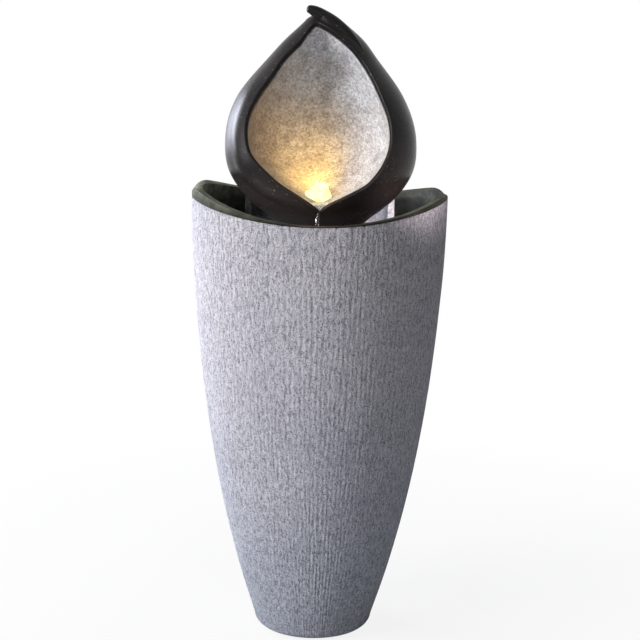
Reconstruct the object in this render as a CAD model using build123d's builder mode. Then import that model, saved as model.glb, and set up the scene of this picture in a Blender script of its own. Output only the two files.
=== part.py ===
"""Floor-standing patio fountain: a tall tapered vase with a saddle-shaped rim, a dark basin hung
in its mouth, and on a speckled pedestal a flame-shaped ornament whose two horns frame a stone
dish. A small pump in the pedestal sends water up through a lamp ring in the dish, and the water
runs out over the pointed spout at the front.

Millimetres. The origin is the centre of the foot on the floor, +Z is up and the spout faces -Y.
"""

import os
from math import hypot

from build123d import *

# Vase: outer radius at a few heights, from the floor to above the rim
FOOT_PAD_SHOWS = 2.0
FOOT_FLAT_RADIUS = 62.0
FOOT_ROUND_TOP = (77.0, 15.0)
VASE_PROFILE = [
    (96.0, 77.0), (117.0, 161.0), (137.0, 270.0), (150.0, 376.0), (154.6, 429.0), (158.2, 480.0),
]
RIM_RADIUS = 160.5
RIM_FRONT_HEIGHT = 549.0
RIM_EAR_HEIGHT = 567.0
VASE_WALL = 10.0
FOOT_RING_THICKNESS = 9.0
FOOT_RING_HOLE = 40.0
CORD_NOTCH_WIDTH = 15.0
CORD_NOTCH_HEIGHT = 18.0
TRIM_HEIGHT = 620.0
TRIM_ANGLE = 22.0

# Foot pads
PAD_RADIUS = 9.0
PAD_THICKNESS = 3.5
PAD_CIRCLE = 51.0
PAD_COUNT = 4

# Basin
LIP_THICKNESS = 3.0
LIP_WIDTH = 13.0
LIP_EAR_CORNER = (160.7, 584.0)
LIP_EAR_ROUND = 16.0
BASIN_WALL = 4.0
BASIN_FLOOR_TOP = 434.0
BASIN_FLOOR_THICKNESS = 5.0
BASIN_CORNER = 22.0
GLUE_GAP = 0.4

# Pedestal: a drum round the pump with a deck on top and a half collar behind the ornament
PEDESTAL_RADIUS = 97.5
PEDESTAL_WALL = 8.0
PEDESTAL_Y = 10.0
DECK_TOP = 526.0
DECK_THICKNESS = 9.0
COLLAR_TOP = 562.0
COLLAR_FRONT_Y = 30.0
COLLAR_ROUND = 2.5
DECK_HOLE_RADIUS = 24.0
INLET_COUNT = 12
INLET_WIDTH = 12.0
INLET_HEIGHT = 26.0

# Flame ornament: height, half width, half depth, sideways shift, depth shift of each section
FLAME_SECTIONS = [
    (DECK_TOP, 46.0, 46.0, 0.0, -12.0),
    (541.0, 66.0, 62.0, 0.0, -12.0),
    (561.0, 94.0, 81.0, 0.5, -12.0),
    (592.0, 111.0, 95.0, 0.5, -9.0),
    (638.0, 119.0, 101.0, 0.0, -4.0),
    (690.0, 104.0, 86.0, -1.0, 4.0),
    (738.0, 67.5, 54.0, 0.5, 12.0),
    (773.0, 35.5, 28.0, 2.0, 17.0),
    (789.0, 21.0, 17.0, -2.0, 20.0),
    (803.0, 10.0, 9.0, -14.0, 22.0),
]
FLAME_WALL = 9.0
TIP_ROUND = 3.0
HORN_PARTING = 1.6
HORN_PARTING_LINE = [(-34.0, 790.0), (-19.0, 787.0), (-5.0, 777.0)]
PARTING_DEPTH_Y = 20.0

# Dish: leaf outline in the plane that leans back through the spout and the point of the opening
SPOUT = (-87.0, 556.0)
DISH_POINT = (-9.0, 778.0)
DISH_HALF_WIDTH = 88.0
DISH_BELLY = 0.40
DISH_EDGE_BOW = 15.0
DISH_WALL = 5.0
POOL_Y = -35.0
POOL_FLOOR = 557.0

# Lamp ring and nozzle, set in the floor of the dish on one upright axis
LAMP_RADIUS = 20.0
LAMP_BORE = 8.5
LAMP_BOTTOM = 546.0
LAMP_BODY_HEIGHT = 8.0
LENS_THICKNESS = 2.5
BOARD_THICKNESS = 1.2
LED_COUNT = 6
LED_CIRCLE = 14.0
LED_SIZE = (3.0, 3.6, 1.4)
CHANNEL_WALL = 1.8
GASKET_THICKNESS = 0.6
NOZZLE_RADIUS = 6.0
NOZZLE_BORE = 4.2
NOZZLE_TOP = 563.0
NOZZLE_BOTTOM = 508.0
NOZZLE_FLANGE_RADIUS = 8.2
LEAD_RADIUS = 2.0
LEAD_OFFSET = 16.0
PLUG_RADIUS = 3.5
PLUG_HEIGHT = 14.0
SOCKET_HEIGHT = 8.0
SEAL_THICKNESS = 1.5

# Riser hose, from the pump's outlet to the nozzle
HOSE_BOTTOM = 493.0
HOSE_TOP = 522.0
HOSE_WALL = 2.2
CLIP_WALL = 1.2
CLIP_HEIGHT = 6.0
CLIP_EAR = 5.0

# Pump, lying along Y on the basin floor with its outlet straight below the nozzle
PUMP_WIDTH = 46.0
PUMP_CORNER = 5.0
PUMP_FRONT = -22.0
PUMP_REAR = 32.0
CUP_HEIGHT = 9.0
CUP_RADIUS = 9.0
CUP_STEM = 3.0
PUMP_AXIS_Z = BASIN_FLOOR_TOP + CUP_HEIGHT + PUMP_WIDTH / 2
CORD_BOSS_RADIUS = 7.0
CORD_BOSS_LENGTH = 9.0
CORD_RADIUS = 3.5
COVER_WIDTH = 42.0
COVER_FRONT = -48.0
COVER_FRONT_WALL = 5.0
CHAMBER_RADIUS = 16.5
INTAKE_RADIUS = 10.0
SPIDER_WIDTH = 3.0
OUTLET_RADIUS = NOZZLE_RADIUS
OUTLET_BORE = NOZZLE_BORE
OUTLET_TOP = 503.0
SEAL_RADIUS = 18.2
SEAL_SECTION = 1.0
WELL_RADIUS = 9.0
WELL_END = 18.0
STATOR_HALF_WIDTH = 17.0
STATOR_LEG = 6.0
STATOR_HEIGHT = 28.0
STATOR_DROP = 20.0
STATOR_STACK = 20.0
STATOR_REAR = 14.0
COIL_BUILD = 2.5

# Impeller, magnet, shaft and bushes
IMPELLER_REAR = -23.5
BACKPLATE = 1.6
VANE_RADIUS = 15.4
VANE_LENGTH = 12.0
VANE_THICKNESS = 1.6
VANE_COUNT = 6
HUB_RADIUS = 4.5
ROTOR_RADIUS = 8.4
ROTOR_REAR = 14.5
SHAFT_RADIUS = 1.5
BUSH_RADIUS = 3.2
BUSH_LENGTH = 4.0

# Strainer and flow regulator
STRAINER_FRONT = -60.0
STRAINER_WALL = 2.0
SLOT_COUNT = 7
SLOT_PITCH = 5.0
SLOT_WIDTH = 2.6
SLOT_LENGTH = 30.0
DIAL_RADIUS = 7.0
DIAL_THICKNESS = 2.0
STEM_RADIUS = 2.5
SHUTTER_RADIUS = 16.0
SHUTTER_THICKNESS = 1.5

# Cord gland
GLAND_Y = 72.0
GLAND_THREAD_RADIUS = 8.0
GLAND_FLANGE_RADIUS = 12.0
GLAND_HEX_HEIGHT = 5.0
GLAND_TAIL = 8.0

# Fits: a running or push fit, and the gap round what moves
FIT = 0.06
MOVE_GAP = 0.4

os.makedirs("parts", exist_ok=True)



def save(builder, name):
    """Label a finished sub-part and write it as one STEP file."""
    builder.part.label = name
    export_step(builder.part, f"parts/{name}.step")


def above_saddle():
    """Sketch of all that lies above the stone's rim line: an arc, low in the middle and high at the
    ears, wide enough to trim the rim."""
    rise = RIM_EAR_HEIGHT - RIM_FRONT_HEIGHT
    arc_radius = (RIM_RADIUS**2 + rise**2) / (2 * rise)
    with BuildSketch(Plane.XZ) as trim:
        with BuildLine():
            centre = (0, RIM_FRONT_HEIGHT + arc_radius)
            arc = CenterArc(centre, arc_radius, 270 - TRIM_ANGLE, 2 * TRIM_ANGLE)
            top = TRIM_HEIGHT + 2 * rise
            Polyline(arc @ 1, ((arc @ 1).X, top), ((arc @ 0).X, top), arc @ 0)
        make_face()
    return trim.sketch


def above_lip():
    """Sketch of all that lies above the basin's lip: an arc from ear to ear, low in the middle, with
    each ear rounded down to the outer edge."""
    corner_x, corner_z = LIP_EAR_CORNER
    wide = corner_x + 40
    top = TRIM_HEIGHT + 2 * LIP_EAR_ROUND
    with BuildSketch(Plane.XZ) as trim:
        with BuildLine():
            low = (0, RIM_FRONT_HEIGHT + LIP_THICKNESS)
            arc = ThreePointArc((-corner_x, corner_z), low, (corner_x, corner_z))
            Polyline(arc @ 1, (corner_x, RIM_FRONT_HEIGHT), (wide, RIM_FRONT_HEIGHT), (wide, top),
                     (-wide, top), (-wide, RIM_FRONT_HEIGHT), (-corner_x, RIM_FRONT_HEIGHT), arc @ 0)
        make_face()
        ears = trim.vertices().filter_by(lambda v: abs(v.Y - corner_z) < 0.01)
        fillet(ears, LIP_EAR_ROUND)
    return trim.sketch


def vase_side(inset):
    """The vase's side line from above the foot to above the rim, moved in by an inset."""
    points = [FOOT_ROUND_TOP, *VASE_PROFILE, (RIM_RADIUS, RIM_FRONT_HEIGHT), (RIM_RADIUS, TRIM_HEIGHT)]
    return [(radius - inset, height) for radius, height in points]


def basin_side(inset, raise_by):
    """The part of the vase's side line that the basin follows, moved in by an inset."""
    points = [point for point in vase_side(inset) if point[1] >= VASE_PROFILE[-2][1]]
    return [(points[0][0], points[0][1] + raise_by), *points[1:]]


# Vase shell: a hollow casting, open below inside a foot ring, trimmed to the saddle rim
with BuildPart() as vase_shell:
    with BuildSketch(Plane.XZ):
        with BuildLine():
            outside = Spline(vase_side(0), tangents=[(0.3, 1), (0, 1)])
            foot_edge = (FOOT_FLAT_RADIUS, FOOT_PAD_SHOWS)
            TangentArc(outside @ 0, foot_edge, tangent=-(outside % 0))
            inside = Spline(vase_side(VASE_WALL), tangents=[(0.3, 1), (0, 1)])
            ring_top = FOOT_PAD_SHOWS + FOOT_RING_THICKNESS
            Polyline(foot_edge, (FOOT_RING_HOLE, FOOT_PAD_SHOWS), (FOOT_RING_HOLE, ring_top),
                     (FOOT_ROUND_TOP[0] - VASE_WALL - 2, ring_top), inside @ 0)
            Line(outside @ 1, inside @ 1)
        make_face()
    revolve(axis=Axis.Z)
    extrude(above_saddle(), amount=RIM_RADIUS + 20, both=True, mode=Mode.SUBTRACT)
    with BuildSketch(Plane.XZ.offset(-FOOT_RING_HOLE / 2)):
        with Locations((0, FOOT_PAD_SHOWS)):
            SlotOverall(2 * CORD_NOTCH_HEIGHT, CORD_NOTCH_WIDTH, rotation=90)
    extrude(amount=-2 * FOOT_FLAT_RADIUS, mode=Mode.SUBTRACT)
    with BuildSketch(Plane.XY.offset(FOOT_PAD_SHOWS)):
        with PolarLocations(PAD_CIRCLE, PAD_COUNT, start_angle=45):
            Circle(PAD_RADIUS)
    extrude(amount=PAD_THICKNESS - FOOT_PAD_SHOWS, mode=Mode.SUBTRACT)
save(vase_shell, "vase_shell")


# Foot pads: rubber discs glued into shallow pockets under the foot ring
with BuildPart() as foot_pads:
    with BuildSketch():
        with PolarLocations(PAD_CIRCLE, PAD_COUNT, start_angle=45):
            Circle(PAD_RADIUS)
    extrude(amount=PAD_THICKNESS)
save(foot_pads, "foot_pads")

# Basin: a dark bowl that hangs in the vase by its lip, which follows the saddle rim
with BuildPart() as rim_lip:
    with BuildSketch(Plane.XZ):
        with Locations((RIM_RADIUS - LIP_WIDTH / 2, RIM_EAR_HEIGHT)):
            Rectangle(LIP_WIDTH, 2 * (TRIM_HEIGHT - RIM_EAR_HEIGHT))
    revolve(axis=Axis.Z)
    extrude(above_saddle(), amount=RIM_RADIUS + 20, both=True, mode=Mode.INTERSECT)

basin_bottom = BASIN_FLOOR_TOP - BASIN_FLOOR_THICKNESS
with BuildPart() as basin:
    with BuildSketch(Plane.XZ) as basin_section:
        with BuildLine():
            slopes = [(0.09, 1), (0, 1)]
            outside = Spline(basin_side(VASE_WALL + GLUE_GAP, 0), tangents=slopes)
            inner_line = basin_side(VASE_WALL + BASIN_WALL, BASIN_FLOOR_THICKNESS)
            inside = Spline(inner_line, tangents=slopes)
            Polyline(outside @ 0, (0, basin_bottom), (0, BASIN_FLOOR_TOP), inside @ 0)
            Line(outside @ 1, inside @ 1)
        make_face()
        floor_corners = basin_section.vertices().filter_by(lambda v: v.X > 1).sort_by(Axis.Y)[:2]
        fillet(floor_corners, BASIN_CORNER)
    revolve(axis=Axis.Z)
    add(rim_lip.part)
    extrude(above_lip(), amount=RIM_RADIUS + 20, both=True, mode=Mode.SUBTRACT)
    with Locations((0, GLAND_Y, BASIN_FLOOR_TOP)):
        Hole(GLAND_THREAD_RADIUS)
save(basin, "basin")

# Pedestal: a speckled drum over the pump, with a deck for the ornament and a half collar behind it
with BuildPart() as pedestal:
    with BuildSketch(Plane.XY.offset(BASIN_FLOOR_TOP)):
        with Locations((0, PEDESTAL_Y)):
            Circle(PEDESTAL_RADIUS)
    extrude(amount=COLLAR_TOP - BASIN_FLOOR_TOP)
    with BuildSketch(Plane.XY.offset(BASIN_FLOOR_TOP)):
        with Locations((0, PEDESTAL_Y)):
            Circle(PEDESTAL_RADIUS - PEDESTAL_WALL)
    extrude(amount=DECK_TOP - DECK_THICKNESS - BASIN_FLOOR_TOP, mode=Mode.SUBTRACT)
    with BuildSketch(Plane.XY.offset(DECK_TOP)):
        with Locations((0, PEDESTAL_Y)):
            Circle(PEDESTAL_RADIUS - PEDESTAL_WALL)
        with Locations((0, COLLAR_FRONT_Y)):
            Rectangle(3 * PEDESTAL_RADIUS, 3 * PEDESTAL_RADIUS, align=(Align.CENTER, Align.MAX))
    extrude(amount=COLLAR_TOP - DECK_TOP, mode=Mode.SUBTRACT)
    fillet(pedestal.edges().group_by(Axis.Z)[-1], COLLAR_ROUND)
    with BuildSketch(Plane.XY.offset(DECK_TOP)):
        with Locations((0, POOL_Y + 6)):
            Circle(DECK_HOLE_RADIUS)
    extrude(amount=-DECK_THICKNESS, mode=Mode.SUBTRACT)
    with BuildSketch(Plane.XZ.offset(-PEDESTAL_Y)) as inlet:
        with Locations((0, BASIN_FLOOR_TOP)):
            SlotOverall(2 * INLET_HEIGHT, INLET_WIDTH, rotation=90)
    inlet_cut = extrude(amount=PEDESTAL_RADIUS + 5, mode=Mode.PRIVATE)
    with Locations((0, PEDESTAL_Y, 0)):
        with PolarLocations(0, INLET_COUNT):
            add(inlet_cut.moved(Location((0, -PEDESTAL_Y, 0))), mode=Mode.SUBTRACT)
save(pedestal, "pedestal")


def flame_solid(inset, last):
    """Loft through the flame's oval sections, drawn in by an inset, up to the last one counted."""
    with BuildPart() as body:
        for height, half_width, half_depth, shift, depth_shift in FLAME_SECTIONS[:last]:
            with BuildSketch(Plane.XY.offset(height)):
                with Locations((shift, depth_shift)):
                    Ellipse(half_width - inset, half_depth - inset)
        loft()
    return body.part


dish_length = hypot(DISH_POINT[0] - SPOUT[0], DISH_POINT[1] - SPOUT[1])
dish_lean = Vector(0, DISH_POINT[0] - SPOUT[0], DISH_POINT[1] - SPOUT[1]).normalized()
leaf_plane = Plane((0, *SPOUT), x_dir=(1, 0, 0), z_dir=Vector(1, 0, 0).cross(dish_lean))
dish_end_plane = Plane((0, *SPOUT), x_dir=(1, 0, 0), z_dir=dish_lean)


def dish_spindle(inset):
    """Solid turned about its leaning long axis from the leaf outline, drawn in by an inset."""
    half_width = DISH_HALF_WIDTH - inset
    with BuildPart() as body:
        with BuildSketch(leaf_plane):
            with BuildLine():
                side = Spline(
                    (0, inset), (0.58 * half_width, 0.13 * dish_length),
                    (half_width, DISH_BELLY * dish_length),
                    (0.66 * half_width, 0.72 * dish_length), (0, dish_length - inset),
                    tangents=[(1, 0.45), (-0.8, 0.7)],
                )
                Line(side @ 1, side @ 0)
            make_face()
        revolve(axis=Axis((0, *SPOUT), dish_lean))
    return body.part


def disc(radius, bottom, top, y=POOL_Y, x=0, mode=Mode.ADD):
    """Upright cylinder between two heights, on the lamp's axis unless placed elsewhere."""
    with Locations((x, y, bottom)):
        return Cylinder(radius, top - bottom, align=(Align.CENTER, Align.CENTER, Align.MIN), mode=mode)


def spin(radius, front, rear, mode=Mode.ADD):
    """Cylinder on the pump's axis between two places along Y."""
    with Locations(Location((0, rear, PUMP_AXIS_Z), (90, 0, 0))):
        return Cylinder(radius, rear - front, align=(Align.CENTER, Align.CENTER, Align.MIN), mode=mode)


def block(width, corner, front, rear, mode=Mode.ADD):
    """Square block with rounded edges round the pump's axis, between two places along Y."""
    with BuildSketch(Plane.XZ.offset(-rear)) as face:
        with Locations((0, PUMP_AXIS_Z)):
            RectangleRounded(width, width, corner)
    return extrude(face.sketch, amount=rear - front, mode=mode)


# Flame shell: dark hollow casting with a leaf-shaped window between its two horns, which part at
# the tip where the right one curls over the left
with BuildPart() as flame_shell:
    add(flame_solid(0, len(FLAME_SECTIONS)))
    fillet(flame_shell.edges().group_by(Axis.Z)[-1], TIP_ROUND)
    add(flame_solid(FLAME_WALL, len(FLAME_SECTIONS) - 2), mode=Mode.SUBTRACT)
    add(dish_spindle(0), mode=Mode.SUBTRACT)
    with BuildSketch(Plane.XZ.offset(-PARTING_DEPTH_Y)):
        with BuildLine():
            Spline(*HORN_PARTING_LINE)
        trace(line_width=HORN_PARTING)
    extrude(amount=2 * FLAME_SECTIONS[4][2], mode=Mode.SUBTRACT)
save(flame_shell, "flame_shell")

# Flame dish: speckled stone scoop bonded into the window, its edge bowed forward with the horns,
# and a seat for the lamp in its floor
with BuildPart() as flame_dish:
    add(dish_spindle(GLUE_GAP))
    disc(LAMP_RADIUS + DISH_WALL, LAMP_BOTTOM - DISH_WALL, POOL_FLOOR + LAMP_RADIUS)
    add(dish_spindle(DISH_WALL), mode=Mode.SUBTRACT)
    with BuildSketch(dish_end_plane):
        with BuildLine():
            side = DISH_HALF_WIDTH
            edge = ThreePointArc((-side, -DISH_EDGE_BOW), (0, 0), (side, -DISH_EDGE_BOW))
            Polyline(edge @ 1, (2 * side, -DISH_EDGE_BOW), (2 * side, 2 * side), (-2 * side, 2 * side),
                     (-2 * side, -DISH_EDGE_BOW), edge @ 0)
        make_face()
    extrude(amount=1.2 * dish_length, both=True, mode=Mode.INTERSECT)
    disc(LAMP_RADIUS + FIT, LAMP_BOTTOM, NOZZLE_TOP + 30, mode=Mode.SUBTRACT)
    disc(NOZZLE_RADIUS + FIT, LAMP_BOTTOM - 2 * DISH_WALL, LAMP_BOTTOM, mode=Mode.SUBTRACT)
    disc(LEAD_RADIUS + FIT, LAMP_BOTTOM - 2 * DISH_WALL, LAMP_BOTTOM, y=POOL_Y + LEAD_OFFSET,
         mode=Mode.SUBTRACT)
save(flame_dish, "flame_dish")

# Lamp ring: potted body with a channel for the board, six lamps, a gasket and a clear lens
lamp_top = LAMP_BOTTOM + LAMP_BODY_HEIGHT
channel_floor = LAMP_BOTTOM + LAMP_BODY_HEIGHT / 2
with BuildPart() as lamp_body:
    disc(LAMP_RADIUS, LAMP_BOTTOM, lamp_top)
    disc(LAMP_RADIUS - CHANNEL_WALL, channel_floor, lamp_top, mode=Mode.SUBTRACT)
    disc(LAMP_BORE + CHANNEL_WALL, channel_floor, lamp_top)
    disc(LAMP_BORE, LAMP_BOTTOM, lamp_top, mode=Mode.SUBTRACT)
save(lamp_body, "lamp_body")

with BuildPart() as led_board:
    disc(LAMP_RADIUS - CHANNEL_WALL - FIT, channel_floor, channel_floor + BOARD_THICKNESS)
    disc(LAMP_BORE + CHANNEL_WALL + FIT, channel_floor, channel_floor + BOARD_THICKNESS, mode=Mode.SUBTRACT)
save(led_board, "led_board")

with BuildPart() as leds:
    with Locations((0, POOL_Y, channel_floor + BOARD_THICKNESS)):
        with PolarLocations(LED_CIRCLE, LED_COUNT):
            Box(*LED_SIZE, align=(Align.CENTER, Align.CENTER, Align.MIN))
save(leds, "leds")

with BuildPart() as lamp_gasket:
    disc(LAMP_RADIUS, lamp_top, lamp_top + GASKET_THICKNESS)
    disc(LAMP_RADIUS - CHANNEL_WALL, lamp_top, lamp_top + GASKET_THICKNESS, mode=Mode.SUBTRACT)
save(lamp_gasket, "lamp_gasket")

lens_bottom = lamp_top + GASKET_THICKNESS
with BuildPart() as lamp_lens:
    disc(LAMP_RADIUS, lens_bottom, lens_bottom + LENS_THICKNESS)
    chamfer(lamp_lens.edges().group_by(Axis.Z)[-1], LENS_THICKNESS / 3)
    disc(LAMP_BORE, lens_bottom, lens_bottom + LENS_THICKNESS, mode=Mode.SUBTRACT)
save(lamp_lens, "lamp_lens")

# Nozzle: upright pipe through the lamp, pushed into the hose below, with a flange and its seal
flange_top = LAMP_BOTTOM - DISH_WALL - SEAL_THICKNESS
with BuildPart() as nozzle:
    disc(NOZZLE_RADIUS, NOZZLE_BOTTOM, NOZZLE_TOP)
    fillet(nozzle.edges().group_by(Axis.Z)[-1], NOZZLE_RADIUS - NOZZLE_BORE - 0.3)
    disc(NOZZLE_FLANGE_RADIUS, flange_top - SEAL_THICKNESS, flange_top)
    disc(NOZZLE_BORE, NOZZLE_BOTTOM, NOZZLE_TOP, mode=Mode.SUBTRACT)
save(nozzle, "nozzle")

with BuildPart() as nozzle_seal:
    disc(NOZZLE_FLANGE_RADIUS, flange_top, LAMP_BOTTOM - DISH_WALL)
    disc(NOZZLE_RADIUS + FIT, flange_top, LAMP_BOTTOM - DISH_WALL, mode=Mode.SUBTRACT)
save(nozzle_seal, "nozzle_seal")

# Lamp lead: short cable straight down to a plug that pushes into a socket on the pump
pump_top = PUMP_AXIS_Z + PUMP_WIDTH / 2
lead_y = POOL_Y + LEAD_OFFSET
with BuildPart() as lamp_lead:
    disc(LEAD_RADIUS, pump_top + PLUG_HEIGHT, LAMP_BOTTOM, y=lead_y)
save(lamp_lead, "lamp_lead")

with BuildPart() as lamp_plug:
    disc(PLUG_RADIUS, pump_top, pump_top + PLUG_HEIGHT, y=lead_y)
    disc(PLUG_RADIUS + 1.5, pump_top + SOCKET_HEIGHT + MOVE_GAP, pump_top + PLUG_HEIGHT, y=lead_y)
save(lamp_plug, "lamp_plug")

# Riser hose and its clip
with BuildPart() as riser_hose:
    disc(NOZZLE_RADIUS + FIT + HOSE_WALL, HOSE_BOTTOM, HOSE_TOP)
    disc(NOZZLE_RADIUS + FIT, HOSE_BOTTOM, HOSE_TOP, mode=Mode.SUBTRACT)
save(riser_hose, "riser_hose")

clip_radius = NOZZLE_RADIUS + 2 * FIT + HOSE_WALL
with BuildPart() as hose_clip:
    disc(clip_radius + CLIP_WALL, HOSE_BOTTOM + 1, HOSE_BOTTOM + 1 + CLIP_HEIGHT)
    with Locations((0, POOL_Y - clip_radius - CLIP_EAR / 2, HOSE_BOTTOM + 1)):
        Box(4 * CLIP_WALL, CLIP_EAR, CLIP_HEIGHT, align=(Align.CENTER, Align.CENTER, Align.MIN))
        Box(1.5 * CLIP_WALL, 2 * CLIP_EAR, CLIP_HEIGHT, align=(Align.CENTER, Align.CENTER, Align.MIN),
            mode=Mode.SUBTRACT)
    disc(clip_radius, HOSE_BOTTOM, HOSE_TOP, mode=Mode.SUBTRACT)
save(hose_clip, "hose_clip")

# Stator: a U-shaped laminated core astride the rotor well, with the coil wound on its yoke
with BuildPart() as stator_core:
    with BuildSketch(Plane.XZ.offset(-STATOR_REAR)):
        with Locations((0, PUMP_AXIS_Z - STATOR_DROP)):
            Rectangle(2 * STATOR_HALF_WIDTH, STATOR_HEIGHT, align=(Align.CENTER, Align.MIN))
        with Locations((0, PUMP_AXIS_Z - STATOR_DROP + STATOR_LEG)):
            Rectangle(2 * (STATOR_HALF_WIDTH - STATOR_LEG), STATOR_HEIGHT, align=(Align.CENTER, Align.MIN),
                      mode=Mode.SUBTRACT)
    extrude(amount=STATOR_STACK)
save(stator_core, "stator_core")

with BuildPart() as stator_coil:
    yoke_middle = (0, STATOR_REAR - STATOR_STACK / 2, PUMP_AXIS_Z - STATOR_DROP + STATOR_LEG / 2)
    with Locations(yoke_middle):
        coil_length = 2 * (STATOR_HALF_WIDTH - STATOR_LEG)
        Box(coil_length, STATOR_STACK + 2 * COIL_BUILD, STATOR_LEG + 2 * COIL_BUILD)
        fillet(stator_coil.edges().filter_by(Axis.X), COIL_BUILD)
        Box(2 * STATOR_HALF_WIDTH, STATOR_STACK, STATOR_LEG, mode=Mode.SUBTRACT)
save(stator_coil, "stator_coil")

# Pump body: potted motor housing with the rotor well, a socket on top and a cord boss behind
with BuildPart() as pump_body:
    block(PUMP_WIDTH, PUMP_CORNER, PUMP_FRONT, PUMP_REAR)
    disc(PLUG_RADIUS + 2, pump_top - 1, pump_top + SOCKET_HEIGHT, y=lead_y)
    disc(PLUG_RADIUS + FIT, pump_top, pump_top + SOCKET_HEIGHT, y=lead_y, mode=Mode.SUBTRACT)
    spin(CORD_BOSS_RADIUS, PUMP_REAR, PUMP_REAR + CORD_BOSS_LENGTH)
    spin(CORD_RADIUS, PUMP_REAR, PUMP_REAR + CORD_BOSS_LENGTH, mode=Mode.SUBTRACT)
    spin(WELL_RADIUS, PUMP_FRONT, WELL_END, mode=Mode.SUBTRACT)
    spin(BUSH_RADIUS, WELL_END, WELL_END + BUSH_LENGTH / 2, mode=Mode.SUBTRACT)
    groove_end = PUMP_FRONT + 2 * SEAL_SECTION
    groove_outside = spin(SEAL_RADIUS + SEAL_SECTION, PUMP_FRONT, groove_end, mode=Mode.PRIVATE)
    groove_inside = spin(SEAL_RADIUS - SEAL_SECTION, PUMP_FRONT, groove_end, mode=Mode.PRIVATE)
    add(groove_outside - groove_inside, mode=Mode.SUBTRACT)
    add(stator_core.part, mode=Mode.SUBTRACT)
    add(stator_coil.part, mode=Mode.SUBTRACT)
save(pump_body, "pump_body")

with BuildPart() as cover_seal:
    with Locations(Location((0, PUMP_FRONT + SEAL_SECTION, PUMP_AXIS_Z), (90, 0, 0))):
        Torus(SEAL_RADIUS, SEAL_SECTION - FIT)
save(cover_seal, "cover_seal")

# Pump cover: impeller chamber with the outlet pipe on top and a spider over the intake
with BuildPart() as pump_cover:
    block(COVER_WIDTH, PUMP_CORNER, COVER_FRONT, PUMP_FRONT)
    disc(OUTLET_RADIUS, PUMP_AXIS_Z, OUTLET_TOP)
    spin(CHAMBER_RADIUS, COVER_FRONT + COVER_FRONT_WALL, PUMP_FRONT, mode=Mode.SUBTRACT)
    disc(OUTLET_BORE, PUMP_AXIS_Z, OUTLET_TOP, mode=Mode.SUBTRACT)
    spin(INTAKE_RADIUS, COVER_FRONT, COVER_FRONT + COVER_FRONT_WALL, mode=Mode.SUBTRACT)
    with Locations((0, COVER_FRONT + COVER_FRONT_WALL / 2, PUMP_AXIS_Z)):
        Box(2 * INTAKE_RADIUS + 2, COVER_FRONT_WALL, SPIDER_WIDTH)
        Box(SPIDER_WIDTH, COVER_FRONT_WALL, 2 * INTAKE_RADIUS + 2)
    spin(BUSH_RADIUS + 1.5, COVER_FRONT, COVER_FRONT + COVER_FRONT_WALL)
    spin(BUSH_RADIUS, COVER_FRONT + 1, COVER_FRONT + COVER_FRONT_WALL, mode=Mode.SUBTRACT)
save(pump_cover, "pump_cover")

# Impeller with its bonded magnet, turning on a fixed ceramic shaft held in two rubber bushes
with BuildPart() as impeller:
    spin(VANE_RADIUS, IMPELLER_REAR - BACKPLATE, IMPELLER_REAR)
    spin(HUB_RADIUS, IMPELLER_REAR - VANE_LENGTH, IMPELLER_REAR)
    with Locations(Location((0, IMPELLER_REAR, PUMP_AXIS_Z), (90, 0, 0))):
        with PolarLocations(0, VANE_COUNT):
            Box(VANE_RADIUS - 0.5, VANE_THICKNESS, VANE_LENGTH, align=(Align.MIN, Align.CENTER, Align.MIN))
    spin(SHAFT_RADIUS + FIT, IMPELLER_REAR - VANE_LENGTH, IMPELLER_REAR, mode=Mode.SUBTRACT)
save(impeller, "impeller")

with BuildPart() as rotor_magnet:
    spin(ROTOR_RADIUS, IMPELLER_REAR, ROTOR_REAR)
    spin(SHAFT_RADIUS + FIT, IMPELLER_REAR, ROTOR_REAR, mode=Mode.SUBTRACT)
save(rotor_magnet, "rotor_magnet")

shaft_front = COVER_FRONT + 1
shaft_rear = WELL_END + BUSH_LENGTH / 2
with BuildPart() as pump_shaft:
    spin(SHAFT_RADIUS, shaft_front, shaft_rear)
save(pump_shaft, "pump_shaft")

with BuildPart() as shaft_bushes:
    spin(BUSH_RADIUS, shaft_front, COVER_FRONT + COVER_FRONT_WALL)
    spin(BUSH_RADIUS, WELL_END - BUSH_LENGTH / 2, shaft_rear)
    spin(SHAFT_RADIUS, shaft_front, shaft_rear, mode=Mode.SUBTRACT)
save(shaft_bushes, "shaft_bushes")

# Strainer: slotted cap over the intake, pulled forward off the cover for cleaning
strainer_rear = COVER_FRONT
with BuildPart() as strainer:
    block(COVER_WIDTH, PUMP_CORNER, STRAINER_FRONT, strainer_rear)
    block(COVER_WIDTH - 2 * STRAINER_WALL, PUMP_CORNER - 1, STRAINER_FRONT + STRAINER_WALL, strainer_rear,
          mode=Mode.SUBTRACT)
    with BuildSketch(Plane.XZ.offset(-STRAINER_FRONT)):
        with Locations((0, PUMP_AXIS_Z)):
            with GridLocations(SLOT_PITCH, 0, SLOT_COUNT, 1):
                SlotOverall(SLOT_LENGTH, SLOT_WIDTH, rotation=90)
            Circle(DIAL_RADIUS, mode=Mode.SUBTRACT)
            Circle(STEM_RADIUS + FIT)
    extrude(amount=-STRAINER_WALL, mode=Mode.SUBTRACT)
save(strainer, "strainer")

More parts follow.
